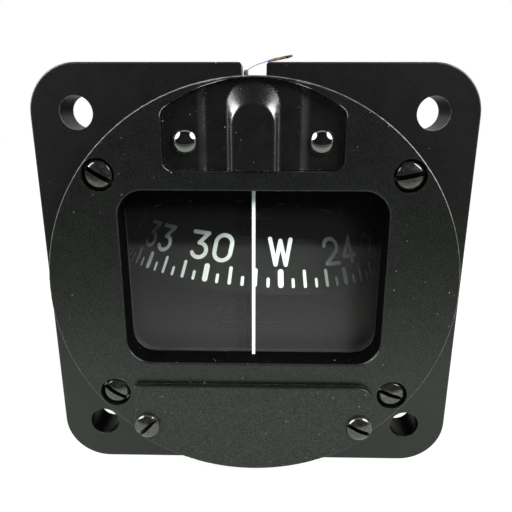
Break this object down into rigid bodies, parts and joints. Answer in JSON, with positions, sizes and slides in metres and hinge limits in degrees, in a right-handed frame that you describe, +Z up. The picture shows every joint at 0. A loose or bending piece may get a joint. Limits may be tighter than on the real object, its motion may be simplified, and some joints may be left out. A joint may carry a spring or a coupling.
{
  "type": "panel mount compass",
  "caption": "Square-flanged panel compass: round bezel with a window onto a conical card, lamp cover above, compensator under a plate below, round case behind.",
  "frame": {"origin": "centre of the four mounting holes on the flange's front face", "axes": "-Y out of the front towards the reader, +Z up, +X to the reader's right"},
  "size_m": [0.0794, 0.0821, 0.0819],
  "materials": {
    "black_paint": "matte",
    "cover_paint": "matte",
    "screw_steel": "satin",
    "stud_enamel": "gloss",
    "glass": "gloss",
    "rubber": "matte",
    "white_enamel": "satin",
    "card_black": "matte",
    "float_metal": "satin",
    "magnet_steel": "satin",
    "brass": "satin",
    "jewel": "gloss",
    "hard_steel": "polished",
    "bulb_glass": "gloss",
    "holder_plastic": "matte",
    "lead_insulation": "satin",
    "diaphragm_metal": "satin"
  },
  "bodies": {
    "housing": {"case": "black_paint", "bezel": "black_paint", "bezel_screws": "screw_steel", "front_glass": "glass", "front_gasket": "rubber", "inner_gasket": "rubber", "lubber_line": "white_enamel", "lamp_cover": "cover_paint", "lamp_cover_studs": "stud_enamel", "lamp_bulb": "bulb_glass", "lamp_holder": "holder_plastic", "lamp_lead_right": "lead_insulation", "lamp_lead_left": "lead_insulation", "compensator_cover": "cover_paint", "compensator_cover_screws": "screw_steel", "compensator_frame": "brass", "compensator_frame_screws": "screw_steel", "idler_pin": "hard_steel", "cross_pins": "hard_steel", "jewel_spring": "hard_steel", "jewel_bracket": "brass", "jewel_bracket_screws": "screw_steel", "card_guard": "black_paint", "diaphragm": "diaphragm_metal", "rear_gasket": "rubber", "rear_cover": "black_paint", "rear_cover_screws": "screw_steel", "filler_washer": "rubber", "filler_plug": "screw_steel"},
    "jewel_carrier": {"jewel_cup": "jewel", "jewel_post": "brass"},
    "pivot_tip": {"pivot_ball": "hard_steel"},
    "pivot": {"pivot_needle": "hard_steel"},
    "card": {"compass_card": "card_black", "card_float": "float_metal", "card_magnets": "magnet_steel", "pivot_collet": "brass"},
    "east_west_drive_body": {"east_west_drive": "brass", "east_west_drive_magnet": "magnet_steel"},
    "east_west_idler_body": {"east_west_idler": "brass", "east_west_idler_magnet": "magnet_steel"},
    "north_south_drive_body": {"north_south_drive": "brass"},
    "north_south_left_body": {"north_south_wheel_left": "brass", "north_south_magnet_left": "magnet_steel"},
    "north_south_right_body": {"north_south_wheel_right": "brass", "north_south_magnet_right": "magnet_steel"}
  },
  "joints": [
    {"name": "jewel_slide", "type": "slide", "parent": "housing", "child": "jewel_carrier", "axis": [0, 0, 1], "range_m": [-0.0005, 0], "stiffness_N_per_m": 200, "springref_m": 0.002, "deforming": ["jewel_spring"]},
    {"name": "card_pitch", "type": "hinge", "parent": "jewel_carrier", "child": "pivot_tip", "pos_m": [0, 0.0339, 0.004], "axis": [1, 0, 0], "range_deg": [-15, 15]},
    {"name": "card_roll", "type": "hinge", "parent": "pivot_tip", "child": "pivot", "pos_m": [0, 0.0339, 0.004], "axis": [0, 1, 0], "range_deg": [-18.6, 11.4]},
    {"name": "card_spin", "type": "hinge", "parent": "pivot", "child": "card", "pos_m": [0, 0.0339, 0.004], "axis": [0.0628, 0, 0.998], "continuous": true},
    {"name": "east_west_turn", "type": "hinge", "parent": "housing", "child": "east_west_drive_body", "pos_m": [-0.009, 0, -0.0252], "axis": [0, 1, 0], "continuous": true},
    {"name": "east_west_idler_turn", "type": "hinge", "parent": "housing", "child": "east_west_idler_body", "pos_m": [-0.0025, 0.012, -0.0252], "axis": [0, 1, 0], "continuous": true},
    {"name": "north_south_turn", "type": "hinge", "parent": "housing", "child": "north_south_drive_body", "pos_m": [0.0066, 0, -0.0252], "axis": [0, 1, 0], "continuous": true},
    {"name": "north_south_left_turn", "type": "hinge", "parent": "housing", "child": "north_south_left_body", "pos_m": [0.0066, 0.022, -0.0252], "axis": [1, 0, 0], "continuous": true},
    {"name": "north_south_right_turn", "type": "hinge", "parent": "housing", "child": "north_south_right_body", "pos_m": [0.0066, 0.022, -0.0252], "axis": [1, 0, 0], "continuous": true}
  ],
  "couplings": [
    {"joint": "east_west_idler_turn", "follows": "east_west_turn", "ratio": -1},
    {"joint": "north_south_left_turn", "follows": "north_south_turn", "ratio": -1},
    {"joint": "north_south_right_turn", "follows": "north_south_turn", "ratio": 1}
  ]
}
